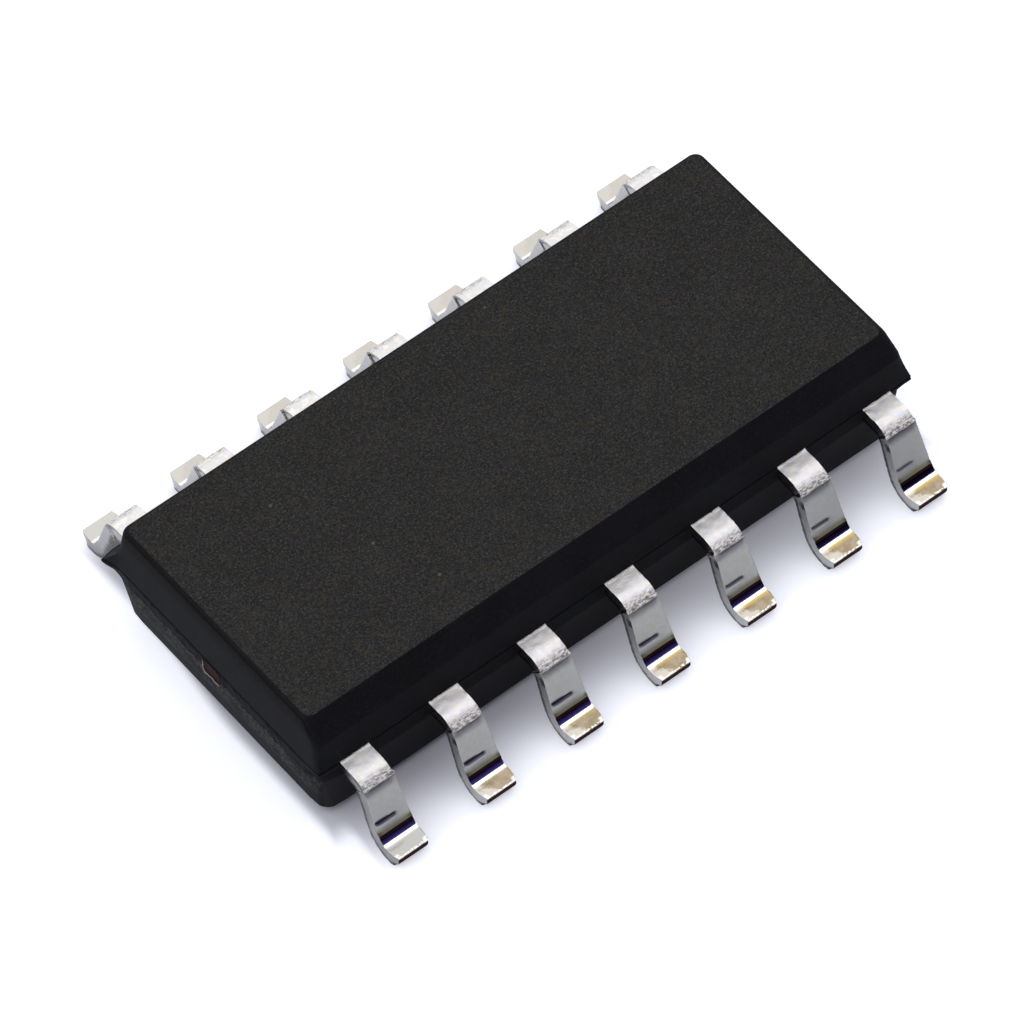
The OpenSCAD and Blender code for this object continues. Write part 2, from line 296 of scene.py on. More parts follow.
def tin_plating():
    f = Finish("tin_plating", metal=1.0)
    run = f.attribute("run")
    across = f.attribute("across")
    height = f.attribute("height")
    off = f.math("ABSOLUTE", across)
    side = f.along_rows()
    outer = f.step(height, 0.05, 0.08)
    crystals = f.noise(0.022, 4.0, 0.6)
    patches = f.noise(0.1, 3.0)
    wrinkles = f.noise(0.018, 3.0, 0.6, stretch=(0.35, 1.0, 1.0))
    streaks = f.noise(0.014, 2.0, 0.5, stretch=(1.0, 0.12, 0.12))
    # Matt plating on the shoulder, opened into brown patches round the bend
    matt_zone = f.step(f.shifted(run, 0.04, 0.025, 4.0), MATT_END + 0.006, MATT_END - 0.006)
    matt = f.mix(f.step(patches, 0.35, 0.7), (0.90, 0.885, 0.83), (0.97, 0.96, 0.915))
    # Painted shade: the back row's shoulders darker than the front row's
    matt = f.mix(f.times(f.back_row(), 0.8), matt, (0.70, 0.695, 0.64))
    matt = f.mix(f.times(f.step(f.noise(0.09, 2.0), 0.5, 0.68), 0.7), matt, (0.95, 0.90, 0.77))
    matt = f.mix(f.times(f.step(f.noise(0.07, 2.0), 0.52, 0.7), 0.6), matt, (0.80, 0.84, 0.93))
    opened = f.times(f.step(f.shifted(run, 0.06, 0.03), 0.06, 0.17), f.step(wrinkles, 0.60, 0.40))
    matt = f.mix(opened, matt, (0.30, 0.265, 0.20))
    # Pressed shank, painted darker towards the right end of the row as shade, olive just above the fold
    pressed = f.mix(f.noise(0.06, 4.0, 0.6), (0.315, 0.315, 0.29), (0.42, 0.42, 0.39))
    pressed = f.mix(f.times(f.step(f.x, 1.5, 3.2), 0.5), pressed, (0.22, 0.22, 0.215))
    olive = f.step(f.shifted(run, 0.05, 0.015), FOLD - 0.11, FOLD - 0.01)
    pressed = f.mix(f.times(olive, outer), pressed, (0.20, 0.19, 0.12))
    # Polished fold, with a painted reflection of the black body, near black, at its start, painted darker
    # towards the right end of the row as shade, and keeping its bright tin colour in a band at its end
    polish = f.mix(f.times(f.step(f.x, -2.0, 4.0), 0.85), (0.95, 0.92, 0.98), (0.030, 0.016, 0.012))
    body_reflection = f.step(f.shifted(run, 0.03, 0.012), FOLD + 0.17, FOLD + 0.055)
    polish = f.mix(body_reflection, polish, (0.010, 0.004, 0.005))
    polish = f.mix(f.step(run, FOLD + 0.162, FOLD + 0.190), polish, (0.95, 0.94, 0.90))
    fold = f.times(f.step(run, FOLD - 0.004, FOLD + 0.004), outer)
    pressed = f.mix(fold, pressed, polish)
    # Foot, tanned by heat, with a pale left edge, painted paler on the back row as a difference of light
    # between the rows, and with painted glints on the corners and the burr at its tip
    toe = f.mix(f.step(f.noise(0.09, 3.0), 0.35, 0.65), (0.33, 0.265, 0.160), (0.42, 0.35, 0.24))
    gold = f.times(f.step(run, FOOT_START + 0.03, FOOT_START - 0.02), f.step(f.x, -3.2, 1.5))
    toe = f.mix(gold, toe, (0.55, 0.41, 0.14))
    splash = f.math("MULTIPLY_ADD", f.step(run, FOOT_START, TOE), -0.11, f.shifted(across, 0.07, 0.08))
    pale = f.step(splash, -0.10, -0.17)
    toe = f.mix(f.times(pale, 0.8), toe, (0.70, 0.67, 0.56))
    toe = f.mix(f.step(f.x, -3.1, -3.3), toe, (0.49, 0.485, 0.44))
    # Painted light: the back row's feet paler than the front row's
    toe = f.mix(f.times(f.back_row(), 0.85), toe, (0.58, 0.57, 0.50))
    # Painted glints on the toe's corners and on the beads of burr along its tip, on the front row
    corner = f.times(f.step(f.shifted(off, 0.03, 0.02), 0.15, 0.18), f.step(run, TOE - 0.08, TOE - 0.04))
    beads = f.step(f.noise(0.03, 2.0), 0.44, 0.56)
    burr = f.times(f.step(f.shifted(run, 0.025, 0.02, 2.0), TOE - 0.024, TOE - 0.012), beads)
    bright = f.times(f.math("MAXIMUM", corner, burr), outer, f.front_row())
    toe = f.mix(bright, toe, (0.93, 0.91, 0.82))
    pressed = f.mix(f.step(run, FOOT_START - 0.085, FOOT_START - 0.045), pressed, toe)
    colour = f.mix(matt_zone, pressed, matt)
    # Painted shade in a thin line just below the ragged edge of the matt plating
    shade_under_jag = f.band(f.shifted(run, 0.03, 0.01), MATT_END + 0.008, MATT_END + 0.018, 0.008)
    colour = f.mix(f.times(shade_under_jag, outer, 0.7), colour, (0.06, 0.05, 0.04))
    # Nick of the forming tool, painted dark navy as its shade, and a painted highlight in a band under it
    colour = f.mix(f.attribute("nick"), colour, (0.02, 0.016, 0.04))
    colour = f.mix(f.times(f.attribute("lip_highlight"), 0.7), colour, (0.66, 0.66, 0.64))
    # Sheared sides, with painted shade: darker on the two leads at the left end, a dark patch below the cut
    # dam bar on the front row where the sides mirror the shadow under the body, and darker along their inner
    # half
    sheared_and_shaded = f.mix(f.noise(0.06, 4.0), (0.32, 0.32, 0.31), (0.48, 0.48, 0.465))
    # Painted shade: the sides of the two leads at the left end darker
    sheared_and_shaded = f.mix(f.step(f.x, -3.9, -4.0), sheared_and_shaded, (0.24, 0.24, 0.235))
    # Painted shade: a dark patch on the front row's sides below the cut dam bar, their reflection of the
    # shadow under the body
    torn = f.band(f.shifted(run, 0.05, 0.03), 0.25, 0.35, 0.02)
    torn = f.times(torn, f.step(f.shifted(height, 0.05, 0.03), -0.02, 0.03))
    torn = f.times(torn, f.step(f.x, -4.0, -3.9), f.front_row())
    sheared_and_shaded = f.mix(torn, sheared_and_shaded, (0.02, 0.018, 0.022))
    # Painted shade along the inner half of the sides, where they face the shadowed floor
    lower_side_shade = f.step(f.shifted(height, 0.06, 0.03), -0.02, -0.07)
    sheared_and_shaded = f.mix(lower_side_shade, sheared_and_shaded, (0.035, 0.032, 0.036))
    colour = f.mix(side, colour, sheared_and_shaded)
    # Bare end of the cut foot, and its lower edge, rolled under, painted dark as shade
    rolled = f.times(f.step(run, TOE - 0.11, TOE - 0.07), f.step(height, -0.02, -0.06))
    colour = f.mix(rolled, colour, (0.035, 0.026, 0.028))
    end = f.step(run, TOE - 0.012, TOE - 0.002)
    bare = f.mix(f.noise(0.03, 4.0), (0.022, 0.006, 0.006), (0.060, 0.018, 0.015))
    cut = f.times(end, f.step(height, 0.1, 0.07))
    colour = f.mix(cut, colour, bare)
    rough = f.blend(matt_zone, 0.45, 0.56)
    rough = f.blend(fold, rough, 0.11)
    rough = f.blend(side, rough, 0.24)
    rough = f.blend(cut, rough, 0.9)
    f.feed(f.shader.inputs["Metallic"], f.without(cut))
    f.shader.inputs["Specular IOR Level"].default_value = 0.1
    relief = f.bump(f.times(crystals, outer, f.blend(matt_zone, 0.08, 1.0)), 0.012, 0.35)
    relief = f.bump(f.times(wrinkles, outer, matt_zone, f.step(run, 0.02, 0.12)), 0.02, 0.6, relief)
    relief = f.bump(f.times(streaks, fold), 0.004, 0.25, relief)
    return f.finish(colour, rough, relief)


def frame_alloy():
    f = Finish("frame_alloy", metal=1.0)
    streak = f.noise(0.04, 4.0, 0.6, stretch=(0.3, 1.0, 1.0))
    colour = f.mix(streak, (0.30, 0.19, 0.15), (0.70, 0.56, 0.47))
    # Torn ends of the tie bars, dull inside a bright burr
    end = f.step(f.math("ABSOLUTE", f.x), TIE_BAR_END - 0.05, TIE_BAR_END - 0.03)
    torn = f.mix(f.noise(0.03, 3.0), (0.010, 0.006, 0.007), (0.032, 0.016, 0.016))
    colour = f.mix(end, colour, torn)
    burr = f.step(f.attribute("burr"), 0.5, 0.9)
    colour = f.mix(burr, colour, (0.40, 0.33, 0.26))
    f.feed(f.shader.inputs["Metallic"], f.math("MAXIMUM", f.without(end), burr))
    f.shader.inputs["Specular IOR Level"].default_value = 0.1
    rough = f.blend(end, f.blend(streak, 0.35, 0.55), 0.8)
    return f.finish(colour, rough, f.bump(streak, 0.01, 0.4))


def die_adhesive():
    f = Finish("die_adhesive")
    flakes = f.cells(0.02)["Distance"]
    colour = f.mix(flakes, (0.42, 0.42, 0.40), (0.25, 0.25, 0.24))
    return f.finish(colour, f.blend(flakes, 0.35, 0.6), f.bump(flakes, 0.004, 0.5))


def silicon():
    f = Finish("silicon", metal=0.6)
    blocks = f.cells(0.2)["Distance"]
    lines = f.noise(0.02, 2.0, 0.5, stretch=(1.0, 0.2, 1.0))
    colour = f.mix(lines, (0.16, 0.18, 0.22), (0.26, 0.27, 0.32))
    colour = f.mix(f.times(blocks, 0.5), colour, (0.22, 0.20, 0.28))
    return f.finish(colour, f.blend(lines, 0.15, 0.3), f.bump(lines, 0.002, 0.4))


def wire_metal():
    f = Finish("wire_metal", metal=1.0)
    drawn = f.noise(0.01, 3.0)
    colour = f.mix(drawn, (0.78, 0.52, 0.18), (0.90, 0.68, 0.32))
    return f.finish(colour, f.blend(drawn, 0.15, 0.28), f.bump(drawn, 0.001, 0.3))


def settle(bm, name, material, replaced, sharp=math.radians(38)):
    """Makes a mesh in millimetres a piece of the chip, in metres."""
    bmesh.ops.remove_doubles(bm, verts=bm.verts, dist=1e-5)
    bmesh.ops.recalc_face_normals(bm, faces=bm.faces)
    bmesh.ops.scale(bm, verts=bm.verts, vec=(MM, MM, MM))
    mesh = bpy.data.meshes.new(name)
    bm.to_mesh(mesh)
    bm.free()
    mesh.shade_smooth()
    mesh.set_sharp_from_angle(angle=sharp)
    mesh.materials.append(material)
    piece = bpy.data.objects.new(name, mesh)
    bpy.context.scene.collection.objects.link(piece)
    even = piece.modifiers.new("even_normals", "WEIGHTED_NORMAL")
    even.keep_sharp = True
    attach(piece, "root")
    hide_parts(replaced)
    return piece


def only(kind, geometry):
    return [g for g in geometry if isinstance(g, kind)]


def whole(faces):
    """A group of faces with their edges and points."""
    return faces + list({e for f in faces for e in f.edges}) + list({v for f in faces for v in f.verts})


def push_on(bm, faces, way):
    """Extrudes a group of faces along a way, and gives the faces and points at its new end."""
    made = bmesh.ops.extrude_face_region(bm, geom=whole(faces))["geom"]
    points = only(bmesh.types.BMVert, made)
    bmesh.ops.translate(bm, verts=points, vec=way)
    return only(bmesh.types.BMFace, made), points


def push_steps(bm, faces, way, steps):
    for _ in range(steps):
        faces, _ = push_on(bm, faces, Vector(way) / steps)
    return faces


def bend_on(bm, faces, centre, angle, steps):
    """Spins a group of faces about an axis along X, and gives the faces at the end of the bend."""
    made = bmesh.ops.spin(
        bm, geom=whole(faces), cent=centre, axis=(1, 0, 0), angle=angle, steps=steps,
        use_merge=False, use_normal_flip=False, use_duplicate=False,
    )
    return only(bmesh.types.BMFace, made["geom_last"])


# Insets of the body's walls at a height, as the solid has them
BEVEL_FOOT = BODY_TOP - BEVEL_DROP
UPPER_BASE = SHOULDER_TOP + GROOVE_HEIGHT


def draft_inset(z):
    if z > UPPER_BASE:
        return (z - UPPER_BASE) * UPPER_DRAFT
    return max(0.0, SHOULDER_UNDER - z) * LOWER_DRAFT


def edge_inset(z):
    depth = min(BODY_TOP - z, z - BODY_UNDER)
    if depth >= EDGE_RADIUS:
        return 0.0
    return EDGE_RADIUS - math.sqrt(EDGE_RADIUS**2 - (EDGE_RADIUS - depth) ** 2)


def wall_inset(z):
    groove = 1 - abs(2 * (z - SHOULDER_TOP) / GROOVE_HEIGHT - 1)
    return draft_inset(z) + edge_inset(z) + max(0.0, GROOVE_DEPTH * groove)


def front_inset(z):
    if z <= BEVEL_FOOT:
        return wall_inset(z)
    bevel = draft_inset(BEVEL_FOOT) + (z - BEVEL_FOOT) * BEVEL_RUN / BEVEL_DROP
    return max(bevel, wall_inset(z))


# Crumbled flash on the two ends: its lowest level, reach along Y, and cuts between the outline's points
FLASH_LOW = 0.63
FLASH_HALF_WIDTH = 1.82
FLASH_CUTS = 6
END_WALL = BODY_HALF_LENGTH - 0.075

# How sharp the parting plane is at each corner, and how far the lower half is set in there,
# by whether X and Y are positive
CORNERS = {
    (False, False): (0.6, 0.03),
    (True, False): (1.0, 0.08),
    (True, True): (1.0, 0.04),
    (False, True): (1.0, 0.02),
}

# Web of flash between the back left corner and the lead beside it
WEB_TIP = Vector((0.074, 0.126))
WEB_REACH = 0.16
WEB_END = 4.02


def body_levels():
    """Heights of the body's rings, close together at its edges, flash and parting band."""
    edge = [EDGE_RADIUS * (1 - math.cos(math.radians(15 * k))) for k in range(7)]
    walls = [0.35] + [FLASH_LOW + 0.03 * k for k in range(6)] + [SHOULDER_UNDER + 0.03 * k for k in range(8)]
    walls += [SHOULDER_TOP + GROOVE_HEIGHT / 2, UPPER_BASE, 1.2, 1.35, BEVEL_FOOT, 1.55]
    return [BODY_UNDER + d for d in edge] + walls + [BODY_TOP - d for d in reversed(edge)]


def moved(place, half, inset):
    """A coordinate of the outline after its walls move in: corners keep their shape, straight parts shrink."""
    core = half - CORNER_RADIUS
    if abs(place) > core - 1e-6:
        return place - math.copysign(inset, place)
    return place * (core - inset) / core


def seat(points, home, z):
    """Moves a ring of the outline's points to a level."""
    for v, at in zip(points, home):
        beyond = Vector((abs(at.x) - BODY_HALF_LENGTH, abs(at.y) - BODY_HALF_WIDTH))
        arm = beyond + Vector((CORNER_RADIUS,) * 2)
        if min(arm) > 1e-6:
            sharp = CORNERS[(at.x > 0, at.y > 0)][0] * ramp(z, 0.90, 0.97) * ramp(-z, -1.35, -1.06)
            way = Vector((math.copysign(arm.x, at.x), math.copysign(arm.y, at.y), 0))
            at = at + sharp * (CORNER_RADIUS / max(arm) - 1) * way
        inset = front_inset(z) if at.y < 0 else wall_inset(z)
        v.co = (moved(at.x, BODY_HALF_LENGTH, wall_inset(z)), moved(at.y, BODY_HALF_WIDTH, inset), z)


def body_outline(bm):
    """The widest outline of the body, with round corners and points along its walls."""
    corners = [bm.verts.new((x * BODY_HALF_LENGTH, y * BODY_HALF_WIDTH, BODY_UNDER))
               for x, y in ((-1, -1), (1, -1), (1, 1), (-1, 1))]
    bm.faces.new(corners)
    bmesh.ops.bevel(
        bm, geom=corners, offset=CORNER_RADIUS, offset_type="OFFSET", affect="VERTICES",
        segments=8, profile=0.5, material=-1, clamp_overlap=True,
    )
    for way, cuts in ((0, 44), (1, 20)):
        walls = [e for e in bm.edges if abs(e.verts[0].co[way] - e.verts[1].co[way]) > 1]
        for wall in walls:
            bmesh.ops.subdivide_edges(bm, edges=[wall], cuts=cuts)


def ejector_marks(bm):
    """Two shallow round marks in the underside."""
    rim = [e for e in bm.edges if all(abs(v.co.z - BODY_UNDER) < 1e-6 for v in e.verts)]
    below = [f for f in bm.faces if all(abs(v.co.z - BODY_UNDER) < 1e-6 for v in f.verts)]
    bmesh.ops.delete(bm, geom=below, context="FACES_ONLY")
    marks = []
    for side in (-1, 1):
        circle = bmesh.ops.create_circle(
            bm, cap_ends=False, radius=EJECTOR_RADIUS, segments=48,
            matrix=Matrix.Translation((side * EJECTOR_PLACE, 0, BODY_UNDER)),
        )["verts"]
        marks += list({e for v in circle for e in v.link_edges})
    bmesh.ops.triangle_fill(bm, use_beauty=True, use_dissolve=False, edges=rim + marks)
    made = bmesh.ops.extrude_edge_only(bm, edges=marks)["geom"]
    bmesh.ops.translate(bm, verts=only(bmesh.types.BMVert, made), vec=(0, 0, EJECTOR_DEPTH))
    bmesh.ops.edgeloop_fill(bm, edges=only(bmesh.types.BMEdge, made))


def crumbled_flash(bm):
    """Roughens the two ends below the parting line."""
    ends = [e for e in bm.edges
            if all(abs(v.co.x) > END_WALL for v in e.verts)
            and all(FLASH_LOW - 0.01 < v.co.z < SHOULDER_TOP - 1e-4 for v in e.verts)
            and abs(e.verts[0].co.y - e.verts[1].co.y) > 0.15]
    bmesh.ops.subdivide_edges(bm, edges=ends, cuts=FLASH_CUTS, use_grid_fill=True)
    for v in bm.verts:
        inside = FLASH_LOW + 0.01 < v.co.z < SHOULDER_TOP - 0.01 and abs(v.co.y) < FLASH_HALF_WIDTH
        if inside and abs(v.co.x) > END_WALL:
            rough = noise.fractal(v.co * 14, 0.8, 2.2, 4)
            fade = min(1.0, (v.co.z - FLASH_LOW) / 0.1, (FLASH_HALF_WIDTH - abs(v.co.y)) / 0.1)
            v.co.x += math.copysign(0.012 * rough * fade - 0.004 * fade, v.co.x)


def corner_flash(bm):
    """Sets the lower half in a little at the corners, and draws a web of flash out of one of them."""
    for v in bm.verts:
        near = Vector((BODY_HALF_LENGTH - abs(v.co.x), BODY_HALF_WIDTH - abs(v.co.y)))
        inset = CORNERS[(v.co.x > 0, v.co.y > 0)][1]
        inset *= ramp(-v.co.z, -0.99, -0.93) * ramp(-near.length, -0.3, -0.1)
        web = ramp(v.co.z, 0.78, 0.95) * ramp(-v.co.z, -1.07, -1.04)
        web *= ramp(v.co.y, 1.80, 1.95) * ramp(-v.co.x, WEB_END - 0.1, WEB_END - 0.02)
        reach = WEB_TIP.y + (WEB_REACH - WEB_TIP.y) * ramp(near.x, 0.0, 0.12)
        v.co.x -= math.copysign(inset, v.co.x) + web * WEB_TIP.x * ramp(-near.x, -0.15, -0.01)
        v.co.y -= math.copysign(inset, v.co.y) - web * reach


def mould_body(material):
    bm = bmesh.new()
    body_outline(bm)
    # Each level is the widest outline again, with its walls moved in
    levels = body_levels()
    ring = list(bm.verts)
    home = [v.co.copy() for v in ring]
    seat(ring, home, levels[0])
    cap = list(bm.faces)
    for z in levels[1:]:
        low = {tuple(round(c, 6) for c in v.co): n for n, v in enumerate(ring)}
        cap, points = push_on(bm, cap, (0, 0, 0))
        points.sort(key=lambda v: low[tuple(round(c, 6) for c in v.co)])
        ring = points
        seat(ring, home, z)
    ejector_marks(bm)
    crumbled_flash(bm)
    corner_flash(bm)
    bmesh.ops.translate(bm, verts=bm.verts, vec=(0, -BODY_OFFSET, 0))
    return settle(bm, "epoxy_body", material, "mould_body", math.radians(30))


def unroll(at):
    """Length along the formed lead from the start of its bend, and height over the strip's middle."""
    if at.y <= SHOULDER_END:
        return at.y - SHOULDER_END, at.z - SHOULDER_TOP + LEAD_THICKNESS / 2
    along = (at - SHANK_START).dot(DOWN)
    if along < 0:
        arm = at - BEND_CENTRE
        return math.atan2(arm.y, arm.z) * SHOULDER_MIDDLE, arm.yz.length - SHOULDER_MIDDLE
    if along < SHANK:
        return BEND_LENGTH + along, (at - SHANK_START).dot(OUTER)
    if at.y < FOOT_CENTRE.y:
        arm = at - FOOT_CENTRE
        angle = SHANK_SLOPE - math.atan2(-arm.y, -arm.z)
        return FOLD_START + angle * FOOT_MIDDLE, FOOT_MIDDLE - arm.yz.length
    return FOOT_START + at.y - FOOT_CENTRE.y, at.z - LEAD_THICKNESS / 2


def outward(run):
    """Direction out of the lead's outer face at a place along it."""
    if run < BEND_LENGTH:
        angle = max(0.0, run / SHOULDER_MIDDLE)
    else:
        angle = SHANK_SLOPE - max(0.0, min(SHANK_SLOPE, (run - FOLD_START) / FOOT_MIDDLE))
    return Vector((0, math.sin(angle), math.cos(angle)))


def ramp(value, start, end):
    share = max(0.0, min(1.0, (value - start) / (end - start)))
    return share * share * (3 - 2 * share)


# Depths of the marks on a lead, and where the ridge beside the body and the rolled toe start
PRESSED_DEPTH = 0.005
PRESSED_ROUNDING = 0.014
NICK_DEPTH = 0.020
EXIT_RIDGE = 0.008
EXIT_RUN = (0.18, 0.205)
ROLL_START = 0.10
ROLL_IN = 0.03
ROLL_BACK = 0.06


def form_marks(bm, number, facing):
    """Marks of trimming and forming: dam bar stubs, torn matt edge, tool nick and burr of the cut toe."""
    luck = random.Random(number)
    layers = {name: bm.verts.layers.float.new(name) for name in ("run", "across", "height", "nick", "lip_highlight")}
    jag = [luck.uniform(-0.012, 0.008) for _ in (0, 1)]
    spike = [luck.uniform(0.0, 0.012) for _ in (0, 1)]
    nick_end, nick_depth = NICKS[(number - 1) % LEADS_A_SIDE]
    seed = Vector((3.7 * number, 1.3 * number, 0))
    for v in bm.verts:
        if v.co.y < FINGER_CORNER + FINGER_MITRE - 0.01:
            continue
        run, height = unroll(v.co)
        x = v.co.x
        v[layers["run"]], v[layers["across"]], v[layers["height"]] = run, facing * x, height
        out = outward(run)
        top = ramp(height, 0.05, 0.09)
        grain = noise.noise(seed + Vector((x, run, 0)) * 30)
        # Wider from the cut dam bar down, with a torn upper tip, and narrower again towards the toe
        hand = 1 if x > 0 else 0
        start = MATT_END - 0.012 + jag[hand]
        toe = max(0.0, (run - FOOT_START) / (TOE - FOOT_START))
        wide = (0.3 * ramp(run, start - 0.012, start) + 0.7 * ramp(run, start, FOLD)) * (1 - toe * toe)
        tip = spike[hand] * ramp(run, start - 0.012, start) * ramp(-run, -start - 0.06, -start - 0.012)
        edge = ramp(abs(x), 0.1, LEAD_WIDTH / 2 - EDGE_SOFTNESS)
        torn = 0.005 * noise.noise(seed + Vector((hand, run, height)) * 22)
        shift = Vector((math.copysign(edge * (DAM_STUB * wide + tip + torn * wide), x), 0, 0))
        # Shank pressed below the matt shoulder, with rounded long edges
        ragged = MATT_END + 0.018 * noise.noise(seed + Vector((x * 26, 0, 0))) + 0.010 * grain
        pressed = ramp(run, ragged - 0.004, ragged + 0.010) * ramp(-run, -FOLD, -FOLD + 0.05)
        shift -= out * PRESSED_DEPTH * pressed * top
        rounded = ramp(abs(x), LEAD_WIDTH / 2 - 0.06, LEAD_WIDTH / 2) * pressed
        shift -= out * PRESSED_ROUNDING * rounded * top
        shift += out * 0.003 * grain * top * ramp(-run, -MATT_END, -MATT_END + 0.1)
        # Lumpy plating on the shoulder, thicker along its edges
        plated = ramp(-run, -MATT_END, -MATT_END + 0.06) * top
        lump = noise.noise(seed + Vector((x, run, 0)) * 11)
        rim = ramp(abs(x), LEAD_WIDTH / 2 - 0.05, LEAD_WIDTH / 2 - 0.012)
        shift += out * plated * (0.005 * lump + 0.006 * rim * (0.6 + grain))
        # Ridge of plating where the lead leaves the body
        shift += out * top * (EXIT_RIDGE + 0.004 * grain) * ramp(-run, *EXIT_RUN)
        # Nick across the shank, a wedge that runs out towards the other edge
        reach = facing * x
        share = max(0.0, min(1.0, (nick_end - reach) / (nick_end + 0.12)))
        share *= ramp(reach, -0.2, -0.165)
        thick = (0.018 + 0.015 * math.sqrt(share)) * (0.3 + 0.7 * nick_depth)
        middle = NICK + 0.02 * (reach + 0.1)
        nick = max(0.0, 1 - ((run - middle) / thick) ** 2) * min(1.0, 4 * share) * top
        shift -= out * NICK_DEPTH * nick * nick_depth
        v[layers["nick"]] = min(1.0, 1.8 * nick) * (0.4 + 0.6 * nick_depth)
        # Band under the nick, where the material paints a highlight
        lip_highlight = max(0.0, 1 - ((run - middle - 1.3 * thick) / (0.7 * thick)) ** 2) * min(1.0, 2 * share) * top
        v[layers["lip_highlight"]] = lip_highlight * nick_depth
        # Burr at the toe's upper corners, lower edge rolled under
        burr = ramp(run, TOE - 0.05, TOE - 0.005) * top
        shift += out * burr * (0.002 * grain + 0.003 * ramp(abs(x), 0.12, 0.21))
        rolled = ramp(run, TOE - ROLL_START, TOE) * ramp(-height, -0.02, LEAD_THICKNESS / 2)
        narrowed = -ROLL_IN * rolled * ramp(abs(x), 0.1, 0.21) * math.copysign(1, x)
        shift += Vector((narrowed, -ROLL_BACK * rolled, 0))
        v.co += shift


def lead(number, material):
    column = (LEADS_A_SIDE - 1) / 2 - (number - 1) % LEADS_A_SIDE
    bm = bmesh.new()
    # Cross section where the finger turns, then outwards along the formed lead
    bmesh.ops.create_grid(bm, x_segments=LEAD_GRID[0], y_segments=LEAD_GRID[1], size=0.5)
    bmesh.ops.scale(bm, verts=bm.verts, vec=(LEAD_WIDTH, LEAD_THICKNESS, 1))
    bmesh.ops.rotate(bm, verts=bm.verts, cent=(0, 0, 0), matrix=Matrix.Rotation(math.radians(90), 3, "X"))
    bmesh.ops.translate(bm, verts=bm.verts, vec=(0, FINGER_CORNER, SHOULDER_TOP - LEAD_THICKNESS / 2))
    inner = list(bm.faces)
    end, _ = push_on(bm, inner, (0, FINGER_MITRE, 0))
    end = push_steps(bm, end, (0, SHOULDER_END - FINGER_CORNER - FINGER_MITRE, 0), SHOULDER_STEPS)
    end = bend_on(bm, end, BEND_CENTRE, -SHANK_SLOPE, BEND_STEPS)
    end = push_steps(bm, end, DOWN * SHANK, SHANK_STEPS)
    end = bend_on(bm, end, FOOT_CENTRE, SHANK_SLOPE, FOLD_STEPS)
    push_steps(bm, end, (0, LEAD_REACH - FOOT_CENTRE.y, 0), FOOT_STEPS)
    # The finger inside the body, from the same cross section to its tip beside the paddle
    centre = column * LEAD_PITCH
    if abs(column) == (LEADS_A_SIDE - 1) / 2:
        tip = Vector((math.copysign(END_FINGER[0], column), END_FINGER[1], 0))
    else:
        tip = Vector((centre * FINGER_FAN, FINGER_TIP, 0))
    way = tip - Vector((centre, FINGER_CORNER, 0))
    turn = math.atan2(way.x, -way.y)
    _, points = push_on(bm, inner, way)
    for v in points:
        across = v.co.x - way.x
        v.co = (way.x + across * math.cos(turn), tip.y + across * math.sin(turn), v.co.z)
    for v in bm.verts:
        if abs(v.co.y - FINGER_CORNER) < 1e-6:
            v.co.y += v.co.x * math.tan(turn / 2)
    bmesh.ops.remove_doubles(bm, verts=bm.verts, dist=1e-5)
    bmesh.ops.recalc_face_normals(bm, faces=bm.faces)
    # Softened long edges and toe
    long_edges = [e for e in bm.edges if e.is_manifold and e.calc_face_angle(0) > 1.2
                  and min(v.co.y for v in e.verts) > FINGER_CORNER + FINGER_MITRE - 0.01]
    bmesh.ops.bevel(
        bm, geom=long_edges, offset=EDGE_SOFTNESS, offset_type="OFFSET", affect="EDGES",
        segments=2, profile=0.5, material=-1, clamp_overlap=True,
    )
    front = number <= LEADS_A_SIDE
    form_marks(bm, number, -1 if front else 1)
    bmesh.ops.translate(bm, verts=bm.verts, vec=(centre, 0, 0))
    if front:
        bmesh.ops.rotate(bm, verts=bm.verts, cent=(0, 0, 0), matrix=Matrix.Rotation(math.pi, 3, "Z"))
    return settle(bm, f"formed_lead_{number}", material, f"lead_{number}")


